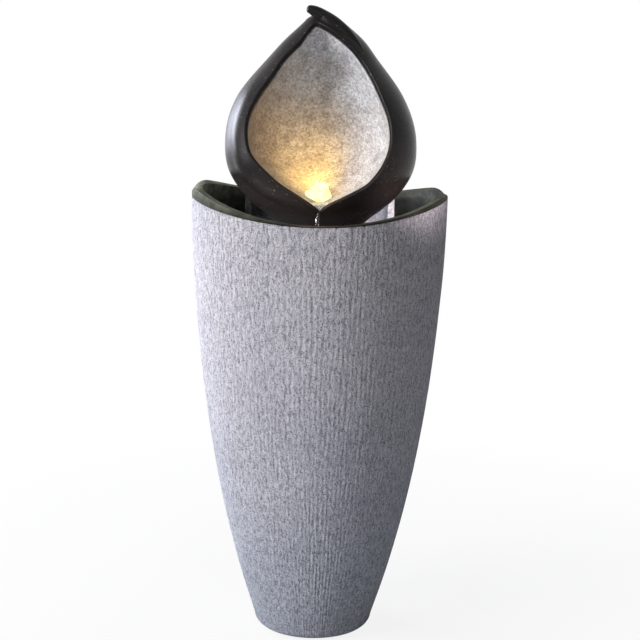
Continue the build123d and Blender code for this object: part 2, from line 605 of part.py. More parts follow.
# Flow regulator: dial in front of the strainer with a half-round shutter behind its wall
shutter_front = STRAINER_FRONT + STRAINER_WALL + MOVE_GAP
with BuildPart() as flow_regulator:
    spin(DIAL_RADIUS, STRAINER_FRONT - MOVE_GAP - DIAL_THICKNESS, STRAINER_FRONT - MOVE_GAP)
    spin(STEM_RADIUS, STRAINER_FRONT - MOVE_GAP, shutter_front)
    with BuildSketch(Plane.XZ.offset(-shutter_front - SHUTTER_THICKNESS)):
        with Locations((0, PUMP_AXIS_Z)):
            Circle(SHUTTER_RADIUS)
            with Locations((0, -STEM_RADIUS)):
                Rectangle(2 * SHUTTER_RADIUS, SHUTTER_RADIUS, align=(Align.CENTER, Align.MAX),
                          mode=Mode.SUBTRACT)
    extrude(amount=SHUTTER_THICKNESS)
    with Locations((0, STRAINER_FRONT - MOVE_GAP - DIAL_THICKNESS, PUMP_AXIS_Z + DIAL_RADIUS / 2)):
        Box(DIAL_THICKNESS, DIAL_THICKNESS, DIAL_RADIUS, align=(Align.CENTER, Align.MAX, Align.CENTER))
save(flow_regulator, "flow_regulator")

# Suction cups: four rubber cups that hold the pump to the basin floor
with BuildPart() as suction_cups:
    with BuildSketch(Plane.XZ) as cup:
        with BuildLine():
            skirt_middle = (0.55 * CUP_RADIUS, 0.35 * CUP_HEIGHT)
            skirt = ThreePointArc((CUP_RADIUS, 0), skirt_middle, (CUP_STEM, CUP_HEIGHT))
            Polyline(skirt @ 1, (0, CUP_HEIGHT), (0, 0), skirt @ 0)
        make_face()
    one_cup = revolve(axis=Axis.Z, mode=Mode.PRIVATE)
    with Locations((0, (PUMP_FRONT + PUMP_REAR) / 2, BASIN_FLOOR_TOP)):
        with GridLocations(PUMP_WIDTH - 2 * CUP_RADIUS, PUMP_REAR - PUMP_FRONT - 2 * CUP_RADIUS, 2, 2):
            add(one_cup)
save(suction_cups, "suction_cups")

# Cord gland in the basin floor: hexagon body, seal under it and a nut below the floor
with BuildPart() as gland_seal:
    disc(GLAND_FLANGE_RADIUS, BASIN_FLOOR_TOP, BASIN_FLOOR_TOP + SEAL_THICKNESS, y=GLAND_Y)
    disc(GLAND_THREAD_RADIUS, BASIN_FLOOR_TOP, BASIN_FLOOR_TOP + SEAL_THICKNESS, y=GLAND_Y,
         mode=Mode.SUBTRACT)
save(gland_seal, "gland_seal")

gland_base = BASIN_FLOOR_TOP + SEAL_THICKNESS
with BuildPart() as gland_body:
    with BuildSketch(Plane.XY.offset(gland_base)):
        with Locations((0, GLAND_Y)):
            RegularPolygon(GLAND_FLANGE_RADIUS, 6)
    extrude(amount=GLAND_HEX_HEIGHT)
    disc(GLAND_THREAD_RADIUS, basin_bottom - GLAND_TAIL, gland_base + 2 * GLAND_HEX_HEIGHT, y=GLAND_Y)
    disc(CORD_RADIUS, basin_bottom - GLAND_TAIL, gland_base + 2 * GLAND_HEX_HEIGHT, y=GLAND_Y,
         mode=Mode.SUBTRACT)
save(gland_body, "gland_body")

with BuildPart() as gland_nut:
    with BuildSketch(Plane.XY.offset(basin_bottom)):
        with Locations((0, GLAND_Y)):
            RegularPolygon(GLAND_FLANGE_RADIUS, 6)
            Circle(GLAND_THREAD_RADIUS, mode=Mode.SUBTRACT)
    extrude(amount=-GLAND_HEX_HEIGHT)
save(gland_nut, "gland_nut")
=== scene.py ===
"""Vase fountain with a flame-shaped ornament: the looks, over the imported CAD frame. Metres."""
import math

import bpy
import numpy as np
from mathutils import Matrix, Vector


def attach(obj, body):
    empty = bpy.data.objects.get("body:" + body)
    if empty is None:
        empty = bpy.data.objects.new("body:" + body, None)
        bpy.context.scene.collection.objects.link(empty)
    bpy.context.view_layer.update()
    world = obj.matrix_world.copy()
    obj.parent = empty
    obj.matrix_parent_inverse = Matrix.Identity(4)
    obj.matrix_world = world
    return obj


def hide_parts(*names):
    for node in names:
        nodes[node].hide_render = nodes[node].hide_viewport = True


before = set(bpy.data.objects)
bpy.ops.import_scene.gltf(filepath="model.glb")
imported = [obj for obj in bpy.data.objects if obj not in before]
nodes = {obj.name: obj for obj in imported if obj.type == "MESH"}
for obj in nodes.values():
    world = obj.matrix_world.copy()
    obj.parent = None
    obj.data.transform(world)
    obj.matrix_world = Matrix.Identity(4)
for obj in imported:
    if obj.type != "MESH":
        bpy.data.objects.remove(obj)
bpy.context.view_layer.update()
scene = bpy.context.scene

# Stage: a pale floor and white surroundings. A large soft lamp stands at the left front, two cooler
# ones behind at the left and a weak one in front, and a narrow spot picks out the collar at the
# right. The camera looks slightly down from the front.
CAMERA_PLACE = (0.003, -1.9, 0.798)
CAMERA_LENS = 85.3
CAMERA_TILT = math.radians(78.4)
CAMERA_ROLL = math.radians(1.03)
AMBIENT_COLOUR = (0.92, 0.95, 1.0, 1.0)
AMBIENT_STRENGTH = 0.07
VASE_MIDDLE = (0.0, 0.0, 0.5)
COLLAR_END = (0.094, 0.0, 0.570)
FLOOR_REACH = 6.0
FLOOR_TONES = ((0.3, 0.54), (0.7, 0.56))
FLOOR_FADE = ((0.25, 0.87), (0.95, 1.0))

scene.view_settings.view_transform = "Standard"
camera_data = bpy.data.cameras.new("camera")
camera_data.lens = CAMERA_LENS
camera = bpy.data.objects.new("camera", camera_data)
scene.collection.objects.link(camera)
camera.location = CAMERA_PLACE
camera_turn = Matrix.Rotation(CAMERA_TILT, 3, "X") @ Matrix.Rotation(CAMERA_ROLL, 3, "Z")
camera.rotation_euler = camera_turn.to_euler()
scene.camera = camera

world = bpy.data.worlds.new("surroundings")
world.use_nodes = True
scene.world = world
world_nodes = world.node_tree.nodes
ambient = world_nodes["Background"]
ambient.inputs["Color"].default_value = AMBIENT_COLOUR
ambient.inputs["Strength"].default_value = AMBIENT_STRENGTH
white = world_nodes.new("ShaderNodeBackground")
white.inputs["Color"].default_value = (1.0, 1.0, 1.0, 1.0)


def worked_out(tree, kind, first, second):
    """Two values added or multiplied, held between 0 and 1. Each is a number or another node's value."""
    node = tree.nodes.new("ShaderNodeMath")
    node.operation = kind
    node.use_clamp = True
    for socket, value in zip(node.inputs, (first, second)):
        if isinstance(value, float):
            socket.default_value = value
        else:
            tree.links.new(value, socket)
    return node.outputs["Value"]


def white_where_seen(tree, plain, shine, output, share):
    """Joins a plain shader to a white one by a share, for rays from the camera and for those that
    glossy and clear surfaces send on."""
    rays = tree.nodes.new("ShaderNodeLightPath").outputs
    seen = worked_out(tree, "ADD", rays["Is Camera Ray"], rays["Is Glossy Ray"])
    seen = worked_out(tree, "ADD", seen, rays["Is Transmission Ray"])
    choose = tree.nodes.new("ShaderNodeMixShader")
    tree.links.new(worked_out(tree, "MULTIPLY", seen, share), choose.inputs["Fac"])
    tree.links.new(plain, choose.inputs[1])
    tree.links.new(shine, choose.inputs[2])
    tree.links.new(choose.outputs["Shader"], output)


white_where_seen(world.node_tree, ambient.outputs["Background"], white.outputs["Background"],
                 world_nodes["World Output"].inputs["Surface"], 1.0)


def lamp(name, kind, place, target, power, colour):
    """Lamp of a kind at a place, aimed at a target."""
    data = bpy.data.lights.new(name, kind)
    data.energy = power
    data.color = colour
    holder = bpy.data.objects.new(name, data)
    holder.location = place
    holder.rotation_euler = (Vector(target) - Vector(place)).to_track_quat("-Z", "Y").to_euler()
    scene.collection.objects.link(holder)
    return holder


def area_lamp(name, place, target, size, power, colour):
    """Square lamp with a side of the given size."""
    lamp(name, "AREA", place, target, power, colour).data.size = size


def spot_lamp(name, place, target, cone, radius, power, colour):
    """Round lamp of a radius, whose light fades out over a whole cone given in degrees."""
    holder = lamp(name, "SPOT", place, target, power, colour)
    holder.data.spot_size = math.radians(cone)
    holder.data.spot_blend = 1.0
    holder.data.shadow_soft_size = radius
    return holder


area_lamp("key_left", (-3.55, -1.9, 2.2), VASE_MIDDLE, 2.2, 244.0, (1.0, 0.985, 0.99))
area_lamp("side_left", (-2.2, 1.5, 1.25), (0.0, 0.0, 0.66), 1.2, 92.0, (0.86, 0.90, 1.0))
area_lamp("rim_left", (-1.9, 2.3, 0.95), (0.0, 0.0, 0.64), 1.1, 19.0, (0.76, 0.78, 1.0))
spot_lamp("collar_right", (0.7, -2.0, 1.15), COLLAR_END, 3.4, 0.03, 380.0, (1.0, 0.86, 0.86))
area_lamp("fill_front", (0.6, -3.4, 1.6), VASE_MIDDLE, 2.0, 16.0, (0.97, 0.98, 1.0))


def skin(name, grid, wrap=True, closed=False, cap_first=False, cap_last=False):
    """Smooth mesh over a grid of points (rows, columns, 3), one quad to a cell: columns join end to
    end if it wraps, the last row joins the first if it is closed, and a cap is one flat face."""
    rows, columns = grid.shape[:2]
    index = np.arange(rows * columns).reshape(rows, columns)
    caps = [index[0, ::-1].tolist()] if cap_first else []
    caps += [index[-1].tolist()] if cap_last else []
    if closed:
        index = np.vstack([index, index[:1]])
    if wrap:
        index = np.hstack([index, index[:, :1]])
    quads = np.stack([index[:-1, :-1], index[:-1, 1:], index[1:, 1:], index[1:, :-1]], axis=-1)
    mesh = bpy.data.meshes.new(name)
    mesh.from_pydata(grid.reshape(-1, 3).tolist(), [], quads.reshape(-1, 4).tolist() + caps)
    mesh.shade_smooth()
    piece = bpy.data.objects.new(name, mesh)
    scene.collection.objects.link(piece)
    return piece


def shader(name, roughness):
    """New node material: the material, its tree, its main shader and its object coordinates."""
    material = bpy.data.materials.new(name)
    material.use_nodes = True
    tree = material.node_tree
    main = tree.nodes["Principled BSDF"]
    main.inputs["Roughness"].default_value = roughness
    return material, tree, main, tree.nodes.new("ShaderNodeTexCoord").outputs["Object"]


def noise(tree, place, scale, detail=3.0, rough=0.55):
    """Cloudy values round one half, with features of about one over the scale."""
    node = tree.nodes.new("ShaderNodeTexNoise")
    node.inputs["Scale"].default_value = scale
    node.inputs["Detail"].default_value = detail
    node.inputs["Roughness"].default_value = rough
    tree.links.new(place, node.inputs["Vector"])
    return node.outputs["Fac"]


def ramp(tree, value, stops):
    """Colours at given values, blended in between. A colour of one number is an even grey."""
    node = tree.nodes.new("ShaderNodeValToRGB")
    points = node.color_ramp.elements
    while len(points) < len(stops):
        points.new(0.5)
    for point, (position, colour) in zip(points, stops):
        red, green, blue = (colour,) * 3 if isinstance(colour, float) else colour
        point.position = position
        point.color = (red, green, blue, 1.0)
    tree.links.new(value, node.inputs["Fac"])
    return node.outputs["Color"]


def distance(tree, place):
    """Distance of the coordinates from the origin."""
    node = tree.nodes.new("ShaderNodeVectorMath")
    node.operation = "LENGTH"
    tree.links.new(place, node.inputs[0])
    return node.outputs["Value"]


floor_ends = np.array([-FLOOR_REACH, FLOOR_REACH])
floor_x, floor_y = np.meshgrid(floor_ends, floor_ends)
floor = skin("floor", np.stack([floor_x, floor_y, np.zeros((2, 2))], axis=-1), wrap=False)
floor_paint, tree, main, place = shader("floor_paint", roughness=0.9)
tree.links.new(ramp(tree, noise(tree, place, scale=3.0), FLOOR_TONES), main.inputs["Base Color"])
shine = tree.nodes.new("ShaderNodeEmission")
white_where_seen(tree, main.outputs["BSDF"], shine.outputs["Emission"],
                 tree.nodes["Material Output"].inputs["Surface"],
                 ramp(tree, distance(tree, place), FLOOR_FADE))
floor.data.materials.append(floor_paint)


# Vase: hollow cast stone, combed from top to bottom while soft, so that broken, slightly wavy
# grooves run down it. Turned about the upright axis, with a rim that rises to an ear on each side.
VASE_HEIGHTS = np.array([0.015, 0.077, 0.161, 0.270, 0.376, 0.429, 0.480, 0.549, 0.620])
VASE_RADII = np.array([0.077, 0.096, 0.117, 0.137, 0.150, 0.1546, 0.1582, 0.1603, 0.1603])
VASE_WALL = 0.010
FOOT = 0.002
FOOT_FLAT = 0.062
FOOT_HOLE = 0.040
FOOT_FLOOR = FOOT + 0.009
RIM_RADIUS = 0.1605
RIM_LOW = 0.549
RIM_RISE = 0.018
RIM_RISE_RIGHT = 0.021
COMB_COUNT = 150
COMB_DEPTH = 0.0006
COMB_LEAST = 0.25
COMB_SHARPNESS = 1.5
COMB_DEPTH_FOOT = 0.0004
COMB_SPAN = 0.6
COMB_WANDER = 0.5
COMB_TREMBLE = 0.25
PIT_DEPTH = 0.0009
PIT_FROM = 0.72
VASE_TONES = ((0.35, (0.33, 0.32, 0.345)), (0.5, (0.575, 0.557, 0.59)), (0.65, (0.71, 0.69, 0.72)))
VASE_CLOUDS = ((0.3, (0.88, 0.89, 0.92)), (0.7, 1.0))
VASE_GRAIN = ((0.36, (0.34, 0.34, 0.37)), (0.48, (0.90, 0.90, 0.91)), (0.6, 1.0))
VASE_FOOT_PAINTED_SHADE = ((0.0, (0.64, 0.70, 0.75)), (0.12, (0.78, 0.84, 0.88)), (0.34, (0.96, 0.97, 1.0)), (0.5, 1.0))


def through(x, xs, ys):
    """Smooth curve through points: cubic spans whose slopes are averaged from both sides."""
    slopes = np.gradient(ys, xs)
    i = np.clip(np.searchsorted(xs, x) - 1, 0, len(xs) - 2)
    span = xs[i + 1] - xs[i]
    t = np.clip((x - xs[i]) / span, 0.0, 1.0)
    start = (1 + 2 * t) * (1 - t) ** 2 * ys[i] + t * (1 - t) ** 2 * span * slopes[i]
    return start + t**2 * (3 - 2 * t) * ys[i + 1] - t**2 * (1 - t) * span * slopes[i + 1]


def vase_radius(height):
    """Radius of the vase's outside at a height, before it is combed."""
    return through(height, VASE_HEIGHTS, VASE_RADII)


def patches(across, up, cells_across, cells_up, seed):
    """Random values from 0 to 1 on a lattice, eased in between, over two coordinates from 0 to 1.
    The lattice repeats across, so the values meet at the seam."""
    table = np.random.default_rng(seed).random((cells_up + 2, cells_across))
    a = across * cells_across
    b = np.clip(up, 0.0, 1.0) * cells_up
    i = np.floor(a).astype(int)
    j = np.floor(b).astype(int)
    s = a - i
    t = b - j
    s = s * s * (3 - 2 * s)
    t = t * t * (3 - 2 * t)
    low = table[j, i % cells_across] * (1 - s) + table[j, (i + 1) % cells_across] * s
    high = table[j + 1, i % cells_across] * (1 - s) + table[j + 1, (i + 1) % cells_across] * s
    return low * (1 - t) + high * t


def rim_height(x):
    """Height of the rim over a sideways place: an arc, low in the middle and high at the ears, the
    right one a little higher."""
    rise = np.where(x > 0, RIM_RISE_RIGHT, RIM_RISE)
    arc = (RIM_RADIUS**2 + rise**2) / (2 * rise)
    return RIM_LOW + arc - np.sqrt(arc**2 - x**2)


def turned(radius, angle, height):
    """Points at radii, angles and heights about the upright axis."""
    radius, angle, height = np.broadcast_arrays(radius, angle, height)
    return np.stack([radius * np.sin(angle), -radius * np.cos(angle), height], axis=-1)


def vase_surface(columns, rows):
    """The vase's wall: a side line turned about the axis, its top row on the saddle line, its
    outside pressed in by a row of cosine grooves whose phase wanders and whose depth comes and
    goes with the height. Runs down the outside, under the foot ring and back up the inside."""
    around = np.arange(columns) / columns
    angle = 2 * np.pi * around[None, :]
    top = rim_height(RIM_RADIUS * np.sin(angle))
    down = np.linspace(0.0, 1.0, rows)[:, None]
    height = top + (VASE_HEIGHTS[0] - top) * down
    level = height / COMB_SPAN
    across = np.broadcast_to(around[None, :], height.shape)
    wander = COMB_WANDER * patches(across, level, cells_across=60, cells_up=20, seed=1)
    wander = wander + COMB_TREMBLE * patches(across, level, cells_across=150, cells_up=60, seed=2)
    groove = 0.5 - 0.5 * np.cos(2 * np.pi * (COMB_COUNT * across + wander))
    broken = patches(across, level, cells_across=COMB_COUNT, cells_up=34, seed=3)
    pits = patches(across, level, cells_across=330, cells_up=75, seed=4)
    pits = np.clip(pits - PIT_FROM, 0.0, 1.0) / (1 - PIT_FROM)
    combed = COMB_DEPTH * groove**COMB_SHARPNESS * (COMB_LEAST + (1 - COMB_LEAST) * broken)
    outside = turned(vase_radius(height) - combed - PIT_DEPTH * pits, angle, height)
    turn = np.linspace(0.0, np.pi / 2, 6)[1:, None]
    foot_radius = FOOT_FLAT + (VASE_RADII[0] - FOOT_FLAT) * np.cos(turn)
    foot_height = FOOT + (VASE_HEIGHTS[0] - FOOT) * (1 - np.sin(turn))
    below = turned(foot_radius - COMB_DEPTH_FOOT * groove[-1:] * np.cos(turn), angle, foot_height)
    ring = turned(np.array([[FOOT_HOLE], [FOOT_HOLE], [VASE_RADII[0] - VASE_WALL]]), angle,
                  np.array([[FOOT], [FOOT_FLOOR], [FOOT_FLOOR]]))
    up = np.linspace(0.05, 1.0, 5)[:, None]
    inner_height = VASE_HEIGHTS[0] + (top - VASE_HEIGHTS[0]) * up
    inside = turned(vase_radius(inner_height) - VASE_WALL, angle, inner_height)
    return np.concatenate([outside, below, ring, inside])


def stretched(tree, place, factors):
    """Coordinates multiplied by a factor for each axis."""
    node = tree.nodes.new("ShaderNodeMapping")
    node.inputs["Scale"].default_value = factors
    tree.links.new(place, node.inputs["Vector"])
    return node.outputs["Vector"]


def axes(tree, place):
    """The coordinates' separate values along X, Y and Z."""
    node = tree.nodes.new("ShaderNodeSeparateXYZ")
    tree.links.new(place, node.inputs["Vector"])
    return node.outputs


def mixed(tree, first, second, factor=1.0, kind="MULTIPLY"):
    """Two colours mixed by a factor, multiplied unless told otherwise."""
    node = tree.nodes.new("ShaderNodeMix")
    node.data_type = "RGBA"
    node.blend_type = kind
    inputs = [socket for socket in node.inputs if socket.type == "RGBA"]
    tree.links.new(first, inputs[0])
    tree.links.new(second, inputs[1])
    if isinstance(factor, float):
        node.inputs["Factor"].default_value = factor
    else:
        tree.links.new(factor, node.inputs["Factor"])
    return [socket for socket in node.outputs if socket.type == "RGBA"][0]


def bumped(tree, main, height, depth, strength=1.0, under=None):
    """Bump in the main shader's normal, over an earlier bump if there is one."""
    node = tree.nodes.new("ShaderNodeBump")
    node.inputs["Strength"].default_value = strength
    node.inputs["Distance"].default_value = depth
    tree.links.new(height, node.inputs["Height"])
    if under is not None:
        tree.links.new(under, node.inputs["Normal"])
    tree.links.new(node.outputs["Normal"], main.inputs["Normal"])
    return node.outputs["Normal"]


vase = skin("vase", vase_surface(columns=7 * COMB_COUNT, rows=74)[::-1], closed=True)
vase_stone, tree, main, place = shader("vase_stone", roughness=0.85)
main.inputs["Specular IOR Level"].default_value = 0.25
streaks = noise(tree, stretched(tree, place, (1.0, 1.0, 0.34)), scale=360.0, detail=4.0, rough=0.7)
grain = noise(tree, place, scale=520.0, rough=0.7)
stone = ramp(tree, streaks, VASE_TONES)
stone = mixed(tree, stone, ramp(tree, noise(tree, place, scale=9.0), VASE_CLOUDS))
stone = mixed(tree, stone, ramp(tree, grain, VASE_GRAIN))
# Painted shade: the stone darker and bluer towards the foot, where less light falls.
stone = mixed(tree, stone, ramp(tree, axes(tree, place)["Z"], VASE_FOOT_PAINTED_SHADE))
tree.links.new(stone, main.inputs["Base Color"])
streaked = bumped(tree, main, streaks, depth=0.0016)
bumped(tree, main, grain, depth=0.0020, under=streaked)
vase.data.materials.append(vase_stone)
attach(vase, "vase")
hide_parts("vase_shell")


# Basin: a dark green-black cast bowl that hangs in the vase by a smooth lip over the saddle rim.
# Satin, with faint clouds, and a sheet of water with low ring waves in it round the pedestal.
LIP_LOW = 0.5498
LIP_RISE = 0.0342
LIP_RISE_RIGHT = 0.0285
LIP_CORNER = 0.1607
LIP_EDGE = 0.1604
LIP_ROUND = 0.0010
LIP_FLAT_INSET = 0.003
LIP_LEAST = 0.0004
LIP_GAP = 0.0002
EAR_ROUND = 0.016
BASIN_FLOOR = 0.434
BASIN_BASE = 0.005
BASIN_WALL = 0.004
BASIN_WALL_BELOW = 0.003
BASIN_GAP = 0.0004
BASIN_CORNER = 0.022
BASIN_TONES = ((0.36, (0.102, 0.110, 0.077)), (0.64, (0.282, 0.294, 0.222)))
BASIN_LOW_PAINTED_SHADE = ((0.551, (0.30, 0.27, 0.30)), (0.561, 1.0))
BASIN_SIDE_PAINTED_LIGHT = ((0.37, 1.0), (0.50, (0.40, 0.40, 0.385)))
BASIN_FLECKS = ((0.35, 0.7), (0.6, 1.0))
LIP_EDGE_SHADE = ((0.1575, 1.0), (0.1597, 0.36))
RAMP_MIDDLE = 0.5  # added to places sideways, because a ramp reads values from 0 to 1
WATER_LEVEL = 0.514
WATER_RADIUS = 0.1462
WAVE_HEIGHT = 0.0006
WAVE_PACE = 42.0
WAVE_WAVER = 1.3


def lip_height(x):
    """Height of the lip over a sideways place: an arc from ear to ear, the right one a little lower,
    each rounded off outside."""
    rise = np.where(x > 0, LIP_RISE_RIGHT, LIP_RISE)
    arc = (LIP_CORNER**2 + rise**2) / (2 * rise)
    past = np.clip(np.abs(x) - LIP_CORNER + EAR_ROUND, 0.0, EAR_ROUND)
    return LIP_LOW + arc - np.sqrt(arc**2 - x**2) - EAR_ROUND + np.sqrt(EAR_ROUND**2 - past**2)


def basin_surface(columns):
    """The basin: a closed section turned about the axis. It runs up the inside from the floor, over
    the lip, whose two top edges are rounded and whose top is an arc from ear to ear, and back down."""
    angle = 2 * np.pi * np.arange(columns)[None, :] / columns
    rim = rim_height(RIM_RADIUS * np.sin(angle))
    turn = np.linspace(0.0, np.pi / 2, 7)[:, None]
    begins = 1 - np.cos(turn)
    ends = 1 - np.sin(turn)
    corner_top = BASIN_FLOOR + BASIN_CORNER
    wall = vase_radius(np.array([corner_top]))[0] - VASE_WALL - BASIN_WALL
    corner = turned(wall - BASIN_CORNER * ends, angle, BASIN_FLOOR + BASIN_CORNER * begins)
    inner = RIM_RADIUS - VASE_WALL - BASIN_WALL
    brim = lip_height(inner * np.sin(angle)) - LIP_ROUND
    height = corner_top + (brim - corner_top) * np.linspace(0.08, 1.0, 12)[:, None]
    inside = turned(vase_radius(height) - VASE_WALL - BASIN_WALL, angle, height)
    flat = np.linspace(inner + LIP_FLAT_INSET, RIM_RADIUS - LIP_FLAT_INSET, 7)[:, None]
    out = np.concatenate([inner + LIP_ROUND * begins, flat, RIM_RADIUS - LIP_ROUND * ends])
    out = np.minimum(out, LIP_EDGE)
    drop = np.concatenate([LIP_ROUND * ends, np.zeros_like(flat), LIP_ROUND * begins])
    top = turned(out, angle, np.maximum(lip_height(out * np.sin(angle)) - drop, rim + LIP_LEAST))
    edge = turned(np.array([[LIP_EDGE], [RIM_RADIUS - VASE_WALL - BASIN_GAP]]), angle, rim + LIP_GAP)
    low = BASIN_FLOOR - BASIN_BASE
    height = rim + (low + BASIN_CORNER - rim) * np.linspace(0.1, 1.0, 5)[:, None]
    outside = turned(vase_radius(height) - VASE_WALL - BASIN_GAP, angle, height)
    under = turned(wall + BASIN_WALL_BELOW - BASIN_CORNER * begins, angle, low + BASIN_CORNER * ends)
    return np.concatenate([corner, inside, top, edge, outside, under])


basin = skin("basin_bowl", basin_surface(columns=240)[::-1], cap_first=True, cap_last=True)
basin_paint, tree, main, place = shader("basin_paint", roughness=0.7)
main.inputs["Specular IOR Level"].default_value = 0.10
cloud = noise(tree, stretched(tree, place, (1.0, 1.0, 1.6)), scale=55.0, detail=4.0)
fleck = noise(tree, place, scale=600.0, detail=2.0)
sideways = worked_out(tree, "ADD", axes(tree, place)["X"], RAMP_MIDDLE)
outward = distance(tree, stretched(tree, place, (1.0, 1.0, 0.0)))
tint = ramp(tree, cloud, BASIN_TONES)
# Painted shade: darker below the lip's low front and back, the bowl's inside wall included.
tint = mixed(tree, tint, ramp(tree, axes(tree, place)["Z"], BASIN_LOW_PAINTED_SHADE))
# Painted light and shade: the bowl paler at the left and darker at the right.
tint = mixed(tree, tint, ramp(tree, sideways, BASIN_SIDE_PAINTED_LIGHT))
tint = mixed(tree, tint, ramp(tree, fleck, BASIN_FLECKS))
tint = mixed(tree, tint, ramp(tree, outward, LIP_EDGE_SHADE))
tree.links.new(tint, main.inputs["Base Color"])
bumped(tree, main, fleck, depth=0.0002)
basin.data.materials.append(basin_paint)
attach(basin, "vase")
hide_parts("basin")


def water_shader(name, tint):
    """Clear water that bends light, tinted slightly, with fine ripples."""
    material, tree, main, place = shader(name, roughness=0.04)
    main.inputs["Transmission Weight"].default_value = 1.0
    main.inputs["IOR"].default_value = 1.33
    ripple = noise(tree, place, scale=60.0, detail=2.0)
    clear = ramp(tree, ripple, ((0.3, tint), (0.7, (0.97, 0.98, 0.98))))
    tree.links.new(clear, main.inputs["Base Color"])
    bumped(tree, main, ripple, depth=0.0012)
    return material


def sheet_of_water(columns, rows):
    """A round sheet: rings about the axis, raised by ring waves that fade towards the wall."""
    angle = 2 * np.pi * np.arange(columns)[None, :] / columns
    out = np.linspace(1.0, 0.02, rows)[:, None]
    wave = WAVE_HEIGHT * np.sin(WAVE_PACE * out + WAVE_WAVER * np.sin(3 * angle)) * (1 - out**4)
    return turned(WATER_RADIUS * out, angle, WATER_LEVEL + wave)


basin_water = skin("basin_water", sheet_of_water(columns=160, rows=40), cap_last=True)
basin_water.data.materials.append(water_shader("basin_water", (0.86, 0.90, 0.86)))
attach(basin_water, "vase")


# Pedestal: the speckled cast-stone drum that stands on the basin floor over the pump, with a half
# collar behind the ornament. The CAD mesh is kept and gets the stone of the dish.
STONE_CHIPS = ((0.0, (0.36, 0.38, 0.42)), (0.25, (0.48, 0.505, 0.555)), (0.55, (0.585, 0.615, 0.675)),
               (0.85, (0.68, 0.71, 0.77)), (1.0, (0.80, 0.825, 0.88)))
STONE_DULL = (0.74, 0.73, 0.73)
STONE_COOL_PAINTED_LIGHT = ((0.63, 1.0), (0.70, (0.97, 0.99, 1.0)))
PAINTED_SHADE_ABOVE = ((0.528, 0.0), (0.538, 1.0))
COLLAR_PAINTED_SHADE = (0.08, 0.08, 0.068)


def speckled_stone(name, painted_shade):
    """Cast stone with a coarse grain: pale, grey and dark chips a millimetre or two across. Cloudy
    dull patches lie over it, with painted shade at the left above the drum and painted light, a
    cooler tone, at the top."""
    material, tree, main, place = shader(name, roughness=0.7)
    chips = tree.nodes.new("ShaderNodeTexVoronoi")
    chips.inputs["Scale"].default_value = 480.0
    tree.links.new(place, chips.inputs["Vector"])
    chance = tree.nodes.new("ShaderNodeSeparateColor")
    tree.links.new(chips.outputs["Color"], chance.inputs["Color"])
    cloud = noise(tree, place, scale=22.0, detail=4.0)
    blotch = noise(tree, place, scale=70.0)
    height = axes(tree, place)["Z"]
    sideways = worked_out(tree, "ADD", axes(tree, place)["X"], RAMP_MIDDLE)
    base = ramp(tree, chance.outputs["Red"], STONE_CHIPS)
    base = mixed(tree, base, ramp(tree, cloud, ((0.3, STONE_DULL), (0.65, 1.0))))
    base = mixed(tree, base, ramp(tree, blotch, ((0.36, STONE_DULL), (0.56, 1.0))))
    # Painted shade: a darker colour at the left, above the drum.
    left_painted_shade = ramp(tree, sideways, ((0.42, painted_shade), (0.47, 1.0)))
    base = mixed(tree, base, left_painted_shade, ramp(tree, height, PAINTED_SHADE_ABOVE))
    # Painted light: a cooler tone at the top, where cool light falls far from the warm lamps.
    base = mixed(tree, base, ramp(tree, height, STONE_COOL_PAINTED_LIGHT))
    tree.links.new(base, main.inputs["Base Color"])
    grained = bumped(tree, main, noise(tree, place, scale=420.0), depth=0.0018)
    bumped(tree, main, chance.outputs["Green"], depth=0.0004, strength=0.6, under=grained)
    return material


def paint(material, *names):
    """Gives CAD nodes a material in place of the plain one they were packed with."""
    for name in names:
        nodes[name].data.materials.clear()
        nodes[name].data.materials.append(material)


# Painted shade: the collar's left end darker, where the flame's shadow falls.
paint(speckled_stone("pedestal_stone", COLLAR_PAINTED_SHADE), "pedestal")


# Flame: one hollow casting in dark bronze-black resin, semi-gloss, that stands loose on the pedestal.
# An oval stack with a leaf-shaped window in front; the two horns beside the window meet at the tip,
# the right one curled over the left.
TIP_FROM = 0.785
TIP_LENGTH = 0.0071
# Each section of the stack: height, half width, half depth, how far aside and how far back.
FLAME_AT, *FLAME_LINES = np.array([
    (0.526, 0.0460, 0.0460, 0.0, -0.0120),
    (0.541, 0.0610, 0.0600, 0.0, -0.0120),
    (0.561, 0.0860, 0.0810, 0.0005, -0.0120),
    (0.592, 0.1110, 0.0950, 0.0005, -0.0090),
    (0.638, 0.1190, 0.1010, 0.0, -0.0040),
    (0.690, 0.1040, 0.0860, -0.0010, 0.0040),
    (0.738, 0.0675, 0.0540, 0.0010, 0.0120),
    (0.763, 0.0460, 0.0355, 0.0025, 0.0155),
    (0.775, 0.0325, 0.0255, 0.0020, 0.0175),
    (0.785, 0.0210, 0.0175, 0.0005, 0.0195),
    (0.792, 0.0120, 0.0120, -0.0035, 0.0205)]).T
# A soft ridge on the left flank: height, turn from the front in degrees, and share that it stands proud.
RIDGE_AT, RIDGE_TURN, RIDGE_PROUD = np.array([
    (0.562, -22.0, 0.0), (0.577, -36.0, 0.045), (0.597, -50.0, 0.050),
    (0.640, -58.0, 0.030), (0.700, -62.0, 0.015), (0.745, -62.0, 0.0)]).T
RIDGE_SPREAD = 8.0
